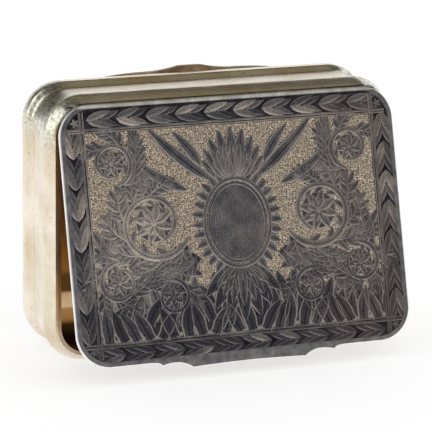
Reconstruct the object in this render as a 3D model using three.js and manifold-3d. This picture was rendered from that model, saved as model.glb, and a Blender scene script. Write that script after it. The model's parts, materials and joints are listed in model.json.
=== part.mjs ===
// A two-sided tobacco box in silver, gilt inside and decorated in niello.
// Two shallow compartments lie back to back on one partition plate. Each has its own flat lid on a
// long book-style joint: knuckles of drawn tube, seated in a channel, on a pin along the edge.
// The box stands on its long front edge, with the front lid ajar. Millimetres, +Z up, +X along the box.

import * as THREE from "three";
import { mergeVertices } from "three/addons/utils/BufferGeometryUtils.js";
import Module from "manifold-3d";

// Driving dimensions of the case
const BOX_LENGTH = 84; // rim outline along X, which is also the lid's
const BOX_HEIGHT = 61.6; // rim outline along Z
const BODY_DEPTH = 24.5; // from one rim to the other, along Y
const CORNER_RADIUS = 8; // rim outline, and the lid's corners
const WALL = 0.6; // silver sheet of the two wall bands
const BULGE = 1.55; // how far each band swells out past the rim outline
const CREST_IN = 5.3; // distance from the rim to the band's crest
const FLAT_IN = 8.2; // distance from the rim to where the swelling has run down to the flat
const FLAT = 0.35; // how far the flat middle stays out past the rim outline
const PARTITION = 0.8; // plate between the two compartments
const BEZEL = 0.5; // strip that lines each rim
const BEZEL_DEPTH = 5; // how far the strip reaches into the compartment

// Driving dimensions of the lids
const LID = 0.9; // lid plate
const LID_ARRIS = 0.3; // polished edge of the lid's outer face
const LIP = 0.8; // thumb lip
const LIP_ROOT = 1.2; // how deep the lip is let into the lid's free edge
const OPEN_DEGREES = 16.4; // how far the front lid stands open

// Driving dimensions of the joints
const KNUCKLE_RADIUS = 1;
const KNUCKLES = 5; // the odd ones are on the case, the even ones on the lid
const HINGE_IN = 0.3; // axis behind the rim plane
const PIN_RADIUS = 0.4;
const PIN_SHORT = 0.4; // the pin stops this far inside each end of the joint
const CHANNEL = 0.6; // wall of the channel that carries the tube
const PLATE_DROP = 0.1; // the lid plate ends this far below the axis
const REBATE = 0.5; // the wall starts this far behind the rim plane along the joint

// Named clearances
const SEAT = 0.3; // between fitted pieces, and between the knuckles
const SOLDER = 0.05; // between the flat faces that are soldered together
const RUNNING = 0.1; // round the pin
const LID_GAP = 0.3; // between a closed lid and the rim

// Facets
const CORNER_STEPS = 7;
const RISE_STEPS = 5;
const FALL_STEPS = 6;
const TUBE_SIDES = 24;
const PIN_SIDES = 12;

// Outlines of the thumb lips, from an end to the middle: distance from the middle, and reach
const FRONT_LIP = { half: 24, ear: [21.9, 0.8], dip: [18.2, 0.3], horn: [14.2, 1.75], middle: 1.4 };
const REAR_LIP = { half: 22.4, ear: [21.4, 0.7], dip: [11.4, 1.3], horn: [3, 2.35], middle: 2.4 };

// Places that follow from the sizes, in a frame at the middle of the box
const RIM_Y = -BODY_DEPTH / 2;
const TOP_Z = BOX_HEIGHT / 2;
const HINGE_Y = RIM_Y + HINGE_IN;
const HINGE_Z = TOP_Z - KNUCKLE_RADIUS;
const LID_BACK_Y = RIM_Y - LID_GAP;
const LID_FACE_Y = LID_BACK_Y - LID;
const RUN_RADIUS = KNUCKLE_RADIUS + SEAT;
const CHANNEL_RADIUS = RUN_RADIUS + CHANNEL;
// The outline's corner arc cuts the axis here, so the joint is as long as the box allows
const JOINT_HALF =
  BOX_LENGTH / 2 -
  CORNER_RADIUS +
  Math.sqrt(CORNER_RADIUS ** 2 - (CORNER_RADIUS - KNUCKLE_RADIUS) ** 2);
const FAR = BOX_LENGTH + BOX_HEIGHT; // longer than anything that it cuts

const SILVER_GILT = { color: 0xcfc6ae, roughness: 0.25, metalness: 1 };
const GILT = { color: 0xb58c4a, roughness: 0.3, metalness: 1 };
const NIELLO_SILVER = { color: 0x6c6a6a, roughness: 0.4, metalness: 0.8 };
const BARE_SILVER = { color: 0xa9a6a0, roughness: 0.3, metalness: 1 };

const wasm = await Module();
wasm.setup();

// Solids and booleans
function solidOf(geometry) {
  const bare = geometry.clone();
  bare.deleteAttribute("normal");
  bare.deleteAttribute("uv");
  const merged = mergeVertices(bare, 1e-4);
  return new wasm.Manifold(
    new wasm.Mesh({
      numProp: 3,
      vertProperties: new Float32Array(merged.attributes.position.array),
      triVerts: new Uint32Array(merged.index.array),
    }),
  );
}

function geometryOf(solid) {
  const mesh = solid.getMesh();
  const geometry = new THREE.BufferGeometry();
  geometry.setAttribute("position", new THREE.BufferAttribute(mesh.vertProperties, 3));
  geometry.setIndex(new THREE.BufferAttribute(mesh.triVerts, 1));
  return geometry;
}

function minus(base, ...tools) {
  return geometryOf(tools.reduce((left, tool) => left.subtract(solidOf(tool)), solidOf(base)));
}

function common(base, tool) {
  return geometryOf(solidOf(base).intersect(solidOf(tool)));
}

// Outline and lofts
// The rim outline as points in X and Z, moved outward by an offset
function outline(offset) {
  const points = [];
  for (let quadrant = 0; quadrant < 4; quadrant++) {
    const middle = ((quadrant + 0.5) * Math.PI) / 2;
    const centreX = Math.sign(Math.cos(middle)) * (BOX_LENGTH / 2 - CORNER_RADIUS);
    const centreZ = Math.sign(Math.sin(middle)) * (BOX_HEIGHT / 2 - CORNER_RADIUS);
    for (let step = 0; step <= CORNER_STEPS; step++) {
      const angle = ((quadrant + step / CORNER_STEPS) * Math.PI) / 2;
      const reach = CORNER_RADIUS + offset;
      points.push([centreX + reach * Math.cos(angle), centreZ + reach * Math.sin(angle)]);
    }
  }
  return points;
}

// Joins outlines at the given [y, offset] places, front to back. A ring closes on its first
// outline, and anything else is closed by two flat ends.
function loft(places, ring) {
  const positions = places.flatMap(([y, offset]) => outline(offset).flatMap(([x, z]) => [x, y, z]));
  const around = outline(0).length;
  const index = [];
  const sections = ring ? places.length : places.length - 1;
  for (let section = 0; section < sections; section++) {
    const near = section * around;
    const far = ((section + 1) % places.length) * around;
    for (let i = 0; i < around; i++) {
      const next = (i + 1) % around;
      index.push(near + i, far + next, near + next, near + i, far + i, far + next);
    }
  }
  if (!ring) {
    const last = (places.length - 1) * around;
    for (let i = 1; i < around - 1; i++) {
      index.push(0, i, i + 1);
      index.push(last, last + i + 1, last + i);
    }
  }
  const geometry = new THREE.BufferGeometry();
  geometry.setAttribute("position", new THREE.Float32BufferAttribute(positions, 3));
  geometry.setIndex(index);
  return geometry.toNonIndexed();
}

function block(x0, x1, y0, y1, z0, z1) {
  const geometry = new THREE.BoxGeometry(x1 - x0, y1 - y0, z1 - z0);
  return geometry.translate((x0 + x1) / 2, (y0 + y1) / 2, (z0 + z1) / 2);
}

// A rod on the joint's axis
function rod(radius, x0, x1, sides) {
  const geometry = new THREE.CylinderGeometry(radius, radius, x1 - x0, sides);
  return geometry.rotateZ(Math.PI / 2).translate((x0 + x1) / 2, HINGE_Y, HINGE_Z);
}

// Case
// Outer profile of a wall band, from the rim over the crest to the middle, as distance from the rim
// and offset
function bandProfile() {
  const depth = BODY_DEPTH / 2 - PARTITION / 2 - SOLDER;
  const points = [];
  for (let step = 0; step <= RISE_STEPS; step++) {
    const angle = ((step / RISE_STEPS) * Math.PI) / 2;
    points.push([CREST_IN * (1 - Math.cos(angle)), BULGE * Math.sin(angle)]);
  }
  for (let step = 1; step <= FALL_STEPS; step++) {
    const share = step / FALL_STEPS;
    const offset = FLAT + ((BULGE - FLAT) * (1 + Math.cos(share * Math.PI))) / 2;
    points.push([CREST_IN + share * (FLAT_IN - CREST_IN), offset]);
  }
  points.push([depth, FLAT]);
  return points;
}

// The same profile one thickness further in, square to the sheet, with flat ends
function innerProfile(thickness) {
  const outer = bandProfile();
  return outer.map(([depth, offset], i) => {
    if (i === 0 || i === outer.length - 1) return [depth, offset - thickness];
    const [depthBefore, offsetBefore] = outer[i - 1];
    const [depthAfter, offsetAfter] = outer[i + 1];
    const along = new THREE.Vector2(depthAfter - depthBefore, offsetAfter - offsetBefore).normalize();
    return [depth + along.y * thickness, offset - along.x * thickness];
  });
}

function toPlaces(profile) {
  return profile.map(([depth, offset]) => [RIM_Y + depth, offset]);
}

function makeWallBand() {
  const sheet = loft([...toPlaces(bandProfile()), ...toPlaces(innerProfile(WALL)).reverse()], true);
  const tubeRoom = rod(RUN_RADIUS, -FAR, FAR, TUBE_SIDES);
  const rebate = block(-FAR, FAR, -FAR, RIM_Y + REBATE, HINGE_Z, FAR);
  return minus(sheet, tubeRoom, rebate);
}

function makePartition() {
  const offset = FLAT - SEAT;
  return loft([[-PARTITION / 2, offset], [PARTITION / 2, offset]], false);
}

function makeBezel() {
  const outer = -WALL - SEAT;
  const back = RIM_Y + BEZEL_DEPTH;
  const strip = loft(
    [[RIM_Y, outer], [back, outer], [back, outer - BEZEL], [RIM_Y, outer - BEZEL]],
    true,
  );
  return minus(strip, rod(CHANNEL_RADIUS + SEAT, -FAR, FAR, TUBE_SIDES));
}

// Channel that cradles the tube from below its back, up to the wall, following the corners
function makeChannel() {
  const top = Math.PI / 3;
  const bottom = -Math.PI / 2;
  const section = new THREE.Shape();
  section.absarc(0, 0, CHANNEL_RADIUS, bottom, top, false);
  section.absarc(0, 0, RUN_RADIUS, top, bottom, true);
  const strip = new THREE.ExtrudeGeometry(section, {
    depth: BOX_LENGTH,
    bevelEnabled: false,
    curveSegments: 8,
  });
  // The section's plane turns from X and Y to Y and Z
  strip.translate(0, 0, -BOX_LENGTH / 2).rotateY(Math.PI / 2).rotateX(Math.PI / 2);
  strip.translate(0, HINGE_Y, HINGE_Z);
  const cavity = loft(toPlaces(innerProfile(WALL + SEAT)), false);
  return common(strip, cavity);
}

// Joint
function makeKnuckle(number) {
  const pitch = (2 * JOINT_HALF + SEAT) / KNUCKLES;
  const start = -JOINT_HALF + number * pitch;
  // The end knuckles run on to the rounded corners of the outline
  const x0 = number === 0 ? -BOX_LENGTH / 2 : start;
  const x1 = number === KNUCKLES - 1 ? BOX_LENGTH / 2 : start + pitch - SEAT;
  const tube = minus(
    rod(KNUCKLE_RADIUS, x0, x1, TUBE_SIDES),
    rod(PIN_RADIUS + RUNNING, -FAR, FAR, PIN_SIDES),
  );
  return common(tube, loft([[LID_FACE_Y, 0], [0, 0]], false));
}

function makePin() {
  const half = JOINT_HALF - PIN_SHORT;
  return rod(PIN_RADIUS, -half, half, PIN_SIDES);
}

// Lid
function makeLidPlate(lip) {
  const sheet = loft(
    [[LID_FACE_Y, -LID_ARRIS], [LID_FACE_Y + LID_ARRIS, 0], [LID_BACK_Y, 0]],
    false,
  );
  const tubeRoom = rod(RUN_RADIUS, -FAR, FAR, TUBE_SIDES);
  const above = block(-FAR, FAR, -FAR, FAR, HINGE_Z - PLATE_DROP, FAR);
  const lipHalf = lip.half + SEAT;
  const lipRoom = block(-lipHalf, lipHalf, -FAR, FAR, -FAR, -TOP_Z + LIP_ROOT + SEAT);
  return minus(sheet, tubeRoom, above, lipRoom);
}

// The lip's free edge: an ear at each end, a dip, and a raised middle between two horns
function makeLip(lip) {
  const [earX, earZ] = lip.ear;
  const [dipX, dipZ] = lip.dip;
  const [hornX, hornZ] = lip.horn;
  const edge = new THREE.Shape();
  edge.moveTo(-lip.half, LIP_ROOT);
  edge.lineTo(-lip.half, 0);
  edge.quadraticCurveTo(-earX, 0, -earX, -earZ);
  edge.quadraticCurveTo((-earX - dipX) / 2, -dipZ, -dipX, -dipZ);
  edge.quadraticCurveTo((-dipX - hornX) / 2, -dipZ, -hornX, -hornZ);
  edge.quadraticCurveTo(-hornX / 2, -lip.middle, 0, -lip.middle);
  edge.quadraticCurveTo(hornX / 2, -lip.middle, hornX, -hornZ);
  edge.quadraticCurveTo((dipX + hornX) / 2, -dipZ, dipX, -dipZ);
  edge.quadraticCurveTo((earX + dipX) / 2, -dipZ, earX, -earZ);
  edge.quadraticCurveTo(earX, 0, lip.half, 0);
  edge.lineTo(lip.half, LIP_ROOT);
  const plate = new THREE.ExtrudeGeometry(edge, { depth: LIP, bevelEnabled: false, curveSegments: 4 });
  // The outline's plane turns from X and Y to X and Z, and its depth runs to -Y
  return plate.rotateX(Math.PI / 2).translate(0, LID_FACE_Y + LIP, -TOP_Z);
}

// Assembly
function add(group, name, geometry, finish) {
  const flat = geometry.index ? geometry.toNonIndexed() : geometry;
  flat.computeVertexNormals();
  const mesh = new THREE.Mesh(flat, new THREE.MeshStandardMaterial(finish));
  mesh.name = name;
  group.add(mesh);
}

// One compartment with its lid, seen with the lid towards -Y and the joint on top
function makeSide(side, lip, openDegrees) {
  const half = new THREE.Group();
  add(half, `${side}_wall_band`, makeWallBand(), SILVER_GILT);
  add(half, `${side}_bezel`, makeBezel(), GILT);
  add(half, `${side}_hinge_channel`, makeChannel(), BARE_SILVER);
  add(half, `${side}_hinge_pin`, makePin(), BARE_SILVER);

  const lid = new THREE.Group();
  const leaf = new THREE.Group();
  leaf.position.set(0, -HINGE_Y, -HINGE_Z);
  add(leaf, `${side}_lid_plate`, makeLidPlate(lip), NIELLO_SILVER);
  add(leaf, `${side}_thumb_lip`, makeLip(lip), BARE_SILVER);
  lid.add(leaf);
  lid.position.set(0, HINGE_Y, HINGE_Z);
  lid.rotation.x = -THREE.MathUtils.degToRad(openDegrees);
  half.add(lid);

  for (let number = 0; number < KNUCKLES; number++) {
    const onCase = number % 2 === 0;
    const owner = onCase ? "case" : "lid";
    const count = Math.floor(number / 2) + 1;
    const carrier = onCase ? half : leaf;
    add(carrier, `${side}_${owner}_knuckle_${count}`, makeKnuckle(number), BARE_SILVER);
  }
  return half;
}

const box = new THREE.Group();
box.add(makeSide("front", FRONT_LIP, OPEN_DEGREES));
const rear = makeSide("rear", REAR_LIP, 0);
rear.rotation.x = Math.PI;
box.add(rear);
add(box, "partition_plate", makePartition(), GILT);

// The origin is the middle of the base of everything, at rest
const tobaccoBox = new THREE.Group();
tobaccoBox.add(box);
const bounds = new THREE.Box3().setFromObject(tobaccoBox, true);
box.position.set(0, -(bounds.min.y + bounds.max.y) / 2, -bounds.min.z);

export default tobaccoBox;
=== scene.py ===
# %% [markdown]
# # A two-sided tobacco box in silver, gilt and niello
# The box has two shallow compartments back to back, each with its own flat lid. Its walls are two
# swelled bands of silver-gilt sheet, its lids are engraved silver plates with niello in the
# cut-away parts, and each lid turns on a long joint of drawn tube that lies flush in the edge. The
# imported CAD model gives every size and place. This script makes the finer forms and the finishes
# around it.

import json
import math
import random

import bmesh
import bpy
from mathutils import Matrix, Vector, noise
from mathutils.geometry import interpolate_bezier


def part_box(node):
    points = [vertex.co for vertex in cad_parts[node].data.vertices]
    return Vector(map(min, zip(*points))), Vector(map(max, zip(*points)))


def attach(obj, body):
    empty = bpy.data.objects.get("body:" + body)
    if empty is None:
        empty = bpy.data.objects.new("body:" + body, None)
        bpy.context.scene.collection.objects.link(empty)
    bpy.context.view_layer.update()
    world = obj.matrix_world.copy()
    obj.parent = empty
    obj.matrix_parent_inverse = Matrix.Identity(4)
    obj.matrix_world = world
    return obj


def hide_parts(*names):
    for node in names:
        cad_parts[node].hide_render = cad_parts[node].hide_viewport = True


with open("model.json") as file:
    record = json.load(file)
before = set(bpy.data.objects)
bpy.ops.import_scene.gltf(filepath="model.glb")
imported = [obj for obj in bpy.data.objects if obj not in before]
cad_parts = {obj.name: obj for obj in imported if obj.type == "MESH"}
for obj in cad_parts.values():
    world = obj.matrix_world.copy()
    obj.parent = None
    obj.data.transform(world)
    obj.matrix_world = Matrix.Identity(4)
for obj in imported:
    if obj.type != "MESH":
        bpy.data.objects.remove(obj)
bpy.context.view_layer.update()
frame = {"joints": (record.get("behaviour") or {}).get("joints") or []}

# %% [markdown]
# ## Sizes
# A silversmith works from a few sizes: the outline of the rim, the swelling of the wall, the
# thickness of the sheet and the radius of the joint's tube. They are written once here, in
# millimetres, in a frame at the middle of the box with the front lid towards -Y. Pieces are
# modelled in that frame and then moved as one, so a matrix for each body takes the place of any
# fitting by eye.

# %% Sizes in millimetres
LENGTH, HEIGHT, DEPTH = 84, 61.6, 24.5  # the outline, and both compartments from rim to rim
RADIUS = 8  # the outline's corners
CORNER_STEPS, ROD_SEGMENTS = 20, 48
WALL, BULGE = 0.6, 1.55  # the sheet, and how far the bands swell past the outline
RISES = {"front": (4.5, 1.25), "rear": (5.3, 2)}  # from the rim to the crest, and fullness
FLAT, FLAT_IN = 0.35, 8.2  # how far out the flat middle stands, and where it starts
PARTITION, BEZEL_DEPTH = 0.8, 5  # the middle plate's thickness, and how deep a bezel reaches
BEZEL_OUT, BEZEL_IN = -0.66, -1.4  # the bezel's two faces, from the outline
LID, LID_GAP = 0.9, 0.3  # the plate's thickness, and the gap behind it when it is closed
LIP, LIP_ROOT = 0.8, 1.2  # a lip's thickness, and how far it is let into the plate
NOTCH_SIDE, NOTCH_ROOT = 0.03, 0.02  # solder room round a lip
TUBE, HINGE_IN = 1, 0.3  # the tube's radius, and its axis behind the rim
BAND_ROOM, PLATE_ROOM = 0.04, 0.05  # between the tube and what is cut back for it
CHANNEL_HALF, CHANNEL_ROOM = 39.4, 2.2  # the round cut for the tube, and the bezel's wider one
REBATE_HALF, REBATE = 38.2, 0.32  # the shallow cut above the tube
KNUCKLE_GAP, GILT_FROM = 0.06, 38  # the saw cut, and where the end knuckles' gilding starts
ARRIS, LIP_ARRIS = 0.3, 0.22  # how far the edges are rounded over
MARGIN, SUNK = 1.3, 0.3  # the plain margin, and the depth of the cut ground inside it
PANEL_X, PANEL_TOP, PANEL_BOTTOM = 35.7, 23.7, -24.9  # where the border ends and the field starts
BAR_UP, BAR_ALONG = 28.8, 39.9  # half lengths of the frame lines, which stay on the rounded plate
GRAIN, PIT = 0.22, 0.54  # the punched ground's mesh, and one blow of the punch
LIPS = {
    "front": dict(half=24, ear=(21.9, 0.8), dip=(18.2, 0.3), horn=(14.2, 1.75), middle=1.4),
    "rear": dict(half=22.4, ear=(21.4, 0.7), dip=(11.4, 1.3), horn=(3, 2.35), middle=2.4),
}

RIM_Y = -DEPTH / 2
LID_FACE_Y = RIM_Y - LID_GAP - LID
HINGE_Y = RIM_Y + HINGE_IN
HINGE_Z = HEIGHT / 2 - TUBE
PLATE_TOP = HINGE_Z - 0.2  # low enough to clear the wall when the lid is open
CORNER_X, CORNER_Z = LENGTH / 2 - RADIUS, HEIGHT / 2 - RADIUS
# The outline's rounded corner cuts off the top of the tube here
JOINT_HALF = CORNER_X + math.sqrt(RADIUS**2 - (RADIUS - TUBE) ** 2)

low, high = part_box("partition_plate")
MIDDLE_Z = (low.z + high.z) / 2
CASE = Matrix.Translation((low + high) / 2) @ Matrix.Scale(0.001, 4)
REAR = CASE @ Matrix.Rotation(math.pi, 4, "X")
joints = {joint["name"]: joint for joint in frame["joints"]}
OPEN = math.radians(-joints["front_lid_hinge"]["range_deg"][0])
AXIS = Matrix.Translation((0, HINGE_Y, HINGE_Z))
FRONT_LID = CASE @ AXIS @ Matrix.Rotation(-OPEN, 4, "X") @ AXIS.inverted()
# A lid's own plane: X along the lid, Y up it, and Z out of its outer face
PLATE = Matrix.Translation((0, LID_FACE_Y, 0)) @ Matrix.Rotation(math.pi / 2, 4, "X")
SIDES = {
    "front": {"case": CASE, "lid": FRONT_LID, "body": "front_lid"},
    "rear": {"case": REAR, "lid": REAR, "body": "rear_lid"},
}
print("front lid stands open by", round(math.degrees(OPEN), 2), "degrees")

# %% [markdown]
# ## Camera
# The box is seen from the front left and a little above, from far away through a long lens, which
# keeps its long edges almost parallel. The camera's place and turn come from matching the box's
# corners and edges.

# %% Camera
scene = bpy.context.scene
scene.view_settings.view_transform = "Standard"
camera = bpy.data.objects.new("camera", bpy.data.cameras.new("camera"))
camera.data.lens = 237.66
camera.data.sensor_width = 36
camera.data.clip_end = 20
right = (0.93546, -0.35319, 0.01312)
up = (0.07781, 0.24202, 0.96715)
back = (-0.34476, -0.9037, 0.25388)
turn = Matrix((right, up, back)).transposed().to_4x4()
camera.matrix_world = Matrix.Translation((-0.23647, -0.61824, 0.20647)) @ turn
scene.collection.objects.link(camera)
scene.camera = camera
print("camera", round(camera.location.length, 3), "m from the box")

# %% [markdown]
# ## Helpers
# Four small helpers serve the whole script. One turns a colour picker's hex value into the linear
# numbers that the renderer works with, one adds a shader node with its settings and links, one
# starts a material, and one turns a bmesh into a finished object at the origin that rides on a
# body. A socket is given by its name, or by its number where several share a name: a colour Mix
# takes its amount at 0 and colours at 6 and 7.

# %% Helpers
def colour(code):
    channels = [int(code[start : start + 2], 16) / 255 for start in (1, 3, 5)]
    linear = [c / 12.92 if c <= 0.04045 else ((c + 0.055) / 1.055) ** 2.4 for c in channels]
    return (*linear, 1)


def add_node(tree, kind, inputs=None, stops=(), **settings):
    """An input is a value, a colour code, a socket, or a node for its first live output."""
    new = tree.nodes.new("ShaderNode" + kind)
    for name, value in settings.items():
        setattr(new, name, value)
    for name, value in (inputs or {}).items():
        if isinstance(value, bpy.types.Node):
            value = next(socket for socket in value.outputs if socket.enabled)
        if isinstance(value, bpy.types.NodeSocket):
            tree.links.new(value, new.inputs[name])
        elif isinstance(value, str):
            new.inputs[name].default_value = colour(value)
        else:
            new.inputs[name].default_value = value
    # A new ramp has two stops, which become the first two here: its ends
    for number, (position, code) in enumerate(stops):
        elements = new.color_ramp.elements
        element = elements[number] if number < 2 else elements.new(position)
        element.position = position
        element.color = colour(code)
    return new


def new_material(name, **values):
    material = bpy.data.materials.new(name)
    material.use_nodes = True
    tree = material.node_tree
    shader = tree.nodes["Principled BSDF"]
    for socket, value in values.items():
        shader.inputs[socket.replace("_", " ")].default_value = value
    return material, tree, shader


def finish(bm, name, place, materials, body, replaces=(), sharp=35):
    bmesh.ops.transform(bm, matrix=place, verts=bm.verts)
    mesh = bpy.data.meshes.new(name)
    bm.to_mesh(mesh)
    bm.free()
    mesh.shade_smooth()
    mesh.set_sharp_from_angle(angle=math.radians(sharp))
    for material in materials:
        mesh.materials.append(material)
    piece = bpy.data.objects.new(name, mesh)
    scene.collection.objects.link(piece)
    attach(piece, body)
    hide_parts(*replaces)
    return piece


print("the hex grey #808080 is", round(colour("#808080")[0], 3), "in linear light")

# %% [markdown]
# ## Silver-gilt of the walls
# The walls are silver with a thin fire-gilding that hands have polished for years. The eye sees a
# pale warm metal, cream rather than yellow, with yellower and greyer clouds where the gilding is
# thicker or worn, fine brown specks, and soft streaks from polishing along the band. It stays a
# metal with low roughness, because its look comes mostly from what it mirrors.

# %% Silver-gilt material
def make_silver_gilt():
    material, tree, shader = new_material("silver_gilt", Metallic=1, Roughness=0.24)
    place = add_node(tree, "TexCoord").outputs["Object"]
    # Clouds of thicker and thinner gilding, about 9 mm across
    clouds = add_node(tree, "TexNoise", {"Vector": place, "Scale": 110, "Detail": 3})
    stops = ((0.3, "#dcccae"), (0.68, "#f6ecdd"), (0.5, "#eadecb"))
    tint = add_node(tree, "ValToRGB", {"Fac": clouds}, stops)
    # Brown specks, about half a millimetre across
    pits = add_node(tree, "TexNoise", {"Vector": place, "Scale": 1300, "Detail": 2})
    # On the upper corners the gilding is rubbed through to mottled grey-green silver
    xyz = add_node(tree, "SeparateXYZ", {0: place})
    out = add_node(tree, "Math", {0: xyz.outputs["X"]}, operation="ABSOLUTE")
    up = add_node(tree, "Math", {0: xyz.outputs["Z"], 1: MIDDLE_Z}, operation="SUBTRACT")
    spans = []
    for value, start, end in ((pits, 0.66, 0.76), (out, 0.032, 0.038), (up, 0.0175, 0.0265)):
        span = {"Value": value, "From Min": start, "From Max": end}
        spans.append(add_node(tree, "MapRange", span))
    speck, reach, height = spans
    rubbed = add_node(tree, "Math", {0: reach, 1: height}, operation="MULTIPLY")
    mottle = add_node(tree, "TexNoise", {"Vector": place, "Scale": 1100, "Detail": 4})
    stops = ((0.36, "#9c9c90"), (0.62, "#eae8dd"), (0.48, "#c9c7bb"))
    silver = add_node(tree, "ValToRGB", {"Fac": mottle}, stops)
    for amount, layer in ((speck, "#a88256"), (rubbed, silver)):
        tint = add_node(tree, "Mix", {0: amount, 6: tint, 7: layer}, data_type="RGBA")
    tree.links.new(tint.outputs[2], shader.inputs["Base Color"])
    # Polishing streaks along the band, a few tenths of a millimetre apart
    stretch = add_node(tree, "Mapping", {"Vector": place, "Scale": (60, 1800, 60)})
    streaks = add_node(tree, "TexNoise", {"Vector": stretch, "Scale": 1, "Detail": 2})
    gloss = add_node(tree, "MapRange", {"Value": streaks, "To Min": 0.17, "To Max": 0.33})
    tree.links.new(gloss.outputs["Result"], shader.inputs["Roughness"])
    # Dents too shallow to see as such, which make the reflections waver
    dents = add_node(tree, "TexNoise", {"Vector": place, "Scale": 160, "Detail": 1})
    bump = add_node(tree, "Bump", {"Height": dents, "Strength": 0.5, "Distance": 0.00025})
    tree.links.new(bump.outputs["Normal"], shader.inputs["Normal"])
    return material


silver_gilt = make_silver_gilt()
print("made", silver_gilt.name)

# %% [markdown]
# ## Gilding inside
# Inside, the gilding is thick and has darkened, from brass-yellow to brown. The same metal shader
# with a deeper colour and more roughness gives it, with clouds of tarnish of a few millimetres.
# Four tones are needed: brown on the backs of the lids, the same with bands of tarnish and a
# painted pale reflection on the partition, greyer on the bezels that fingers rub, and coppery on
# the backs of the lips. One function makes them all, so they stay related.

# %% Inside gilding
def make_gilding(name, dark, middle, light, banded=0.0):
    material, tree, shader = new_material(name, Metallic=1, Roughness=0.34)
    place = add_node(tree, "TexCoord").outputs["Object"]
    tarnish = add_node(tree, "TexNoise", {"Vector": place, "Scale": 150, "Detail": 5})
    stops = ((0.32, dark), (0.7, light), (0.5, middle))
    tint = add_node(tree, "ValToRGB", {"Fac": tarnish}, stops)
    # At the end by the open lid it has tarnished brown in bands; the pale band among them is a
    # painted reflection. Their ramp spans 25 mm of height, so metres are multiplied by 40
    xyz = add_node(tree, "SeparateXYZ", {0: place})
    height = add_node(tree, "Math", {0: xyz.outputs["Z"], 1: 40.0}, operation="MULTIPLY")
    stops = ((0.26, "#4a3420"), (0.82, "#c39a58"), (0.31, "#bb8a50"), (0.42, "#c59a62"))
    stops += ((0.44, "#f6dcb2"), (0.57, "#f3d9b0"), (0.6, "#6f5230"), (0.75, "#7a5a34"))
    bands = add_node(tree, "ValToRGB", {"Fac": height}, stops)
    span = {"Value": xyz.outputs["X"], "From Min": -0.027, "From Max": -0.034, "To Max": banded}
    by_gap = add_node(tree, "MapRange", span)
    whole = add_node(tree, "Mix", {0: by_gap, 6: tint, 7: bands}, data_type="RGBA")
    tree.links.new(whole.outputs[2], shader.inputs["Base Color"])
    bump = add_node(tree, "Bump", {"Height": tarnish, "Strength": 0.4, "Distance": 0.0001})
    tree.links.new(bump.outputs["Normal"], shader.inputs["Normal"])
    return material


gilding = make_gilding("darkened_gilding", "#8d6439", "#bd9250", "#d9b072")
# The partition's gilding adds the tarnish bands near the gap, with a painted reflection as the pale
# one
partition_gilding_painted_reflection = make_gilding("banded_gilding_painted_reflection", "#8d6439", "#bd9250", "#d9b072", 0.95)
worn_gilding = make_gilding("worn_gilding", "#8f7b68", "#a8917a", "#c9b297")
lip_gilding = make_gilding("coppery_gilding", "#4f4535", "#96795a", "#cbb59a")
print("made four tones of gilding")

# %% [markdown]
# ## Bare silver
# The joint's tubes, the plates' plain margins and the thumb lips are silver without gilding.
# Handling keeps edges bright while the flats carry a grey-blue tarnish, so the colour is clouded
# and the roughness is a little higher than on the walls. Scratches of a tenth of a millimetre run
# every way.

# %% Bare silver material
def make_bare_silver(name, dark, light, roughness):
    material, tree, shader = new_material(name, Metallic=1, Roughness=roughness)
    place = add_node(tree, "TexCoord").outputs["Object"]
    clouds = add_node(tree, "TexNoise", {"Vector": place, "Scale": 420, "Detail": 5})
    tint = add_node(tree, "ValToRGB", {"Fac": clouds}, ((0.34, dark), (0.66, light)))
    tree.links.new(tint.outputs["Color"], shader.inputs["Base Color"])
    scratches = add_node(tree, "TexNoise", {"Vector": place, "Scale": 2600, "Detail": 2})
    bump = add_node(tree, "Bump", {"Height": scratches, "Strength": 0.3, "Distance": 0.00004})
    tree.links.new(bump.outputs["Normal"], shader.inputs["Normal"])
    return material


tube_silver = make_bare_silver("drawn_silver_tube", "#c9c4ba", "#f4f0e8", 0.34)
edge_silver = make_bare_silver("polished_silver_edge", "#f0ede6", "#ffffff", 0.2)
margin_silver = make_bare_silver("tarnished_silver_margin", "#65646a", "#8f8b88", 0.42)
lip_silver = make_bare_silver("tarnished_silver_lip", "#66666a", "#8d8985", 0.4)
niello = make_bare_silver("niello_ground", "#26242a", "#45434a", 0.38)
print("made four tones of bare silver, and niello")

# %% [markdown]
# ## Rings of section
# A wall band is a strip whose cross-section runs round a rounded rectangle. It could be a swept
# curve, but spinning the section a quarter turn round one corner's centre, extruding both ends to
# the middle planes and mirroring twice gives clean, even faces and exact straight runs. The same
# function makes the inner bezels.

# %% Ring
def ring(section):
    bm = bmesh.new()
    verts = [bm.verts.new((CORNER_X + RADIUS + out, y, CORNER_Z)) for y, out in section]
    start = [bm.edges.new(pair) for pair in zip(verts, verts[1:] + verts[:1])]
    spun = bmesh.ops.spin(
        bm,
        geom=verts + start,
        cent=(CORNER_X, 0, CORNER_Z),
        axis=(0, -1, 0),
        angle=math.pi / 2,
        steps=CORNER_STEPS,
        use_merge=False,
    )
    end = [item for item in spun["geom_last"] if isinstance(item, bmesh.types.BMEdge)]
    for edges, run in ((start, (0, 0, -CORNER_Z)), (end, (-CORNER_X, 0, 0))):
        grown = bmesh.ops.extrude_edge_only(bm, edges=edges)["geom"]
        moved = [item for item in grown if isinstance(item, bmesh.types.BMVert)]
        bmesh.ops.translate(bm, vec=run, verts=moved)
    for axis in ("X", "Z"):
        whole = bm.verts[:] + bm.edges[:] + bm.faces[:]
        bmesh.ops.mirror(bm, geom=whole, axis=axis, merge_dist=0.001)
    bmesh.ops.recalc_face_normals(bm, faces=bm.faces)
    return bm


around = 4 * (CORNER_X + CORNER_Z) + math.tau * RADIUS
print("the outline runs", round(around, 1), "mm round the box")

# %% [markdown]
# ## Cutting tools
# A smith files and drills away what is in the way of the joint. Here a boolean does it with two
# plain tools, a rod on the joint's axis and a block, because the cut faces are then exact and meet
# the wall in a clean edge.

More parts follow.
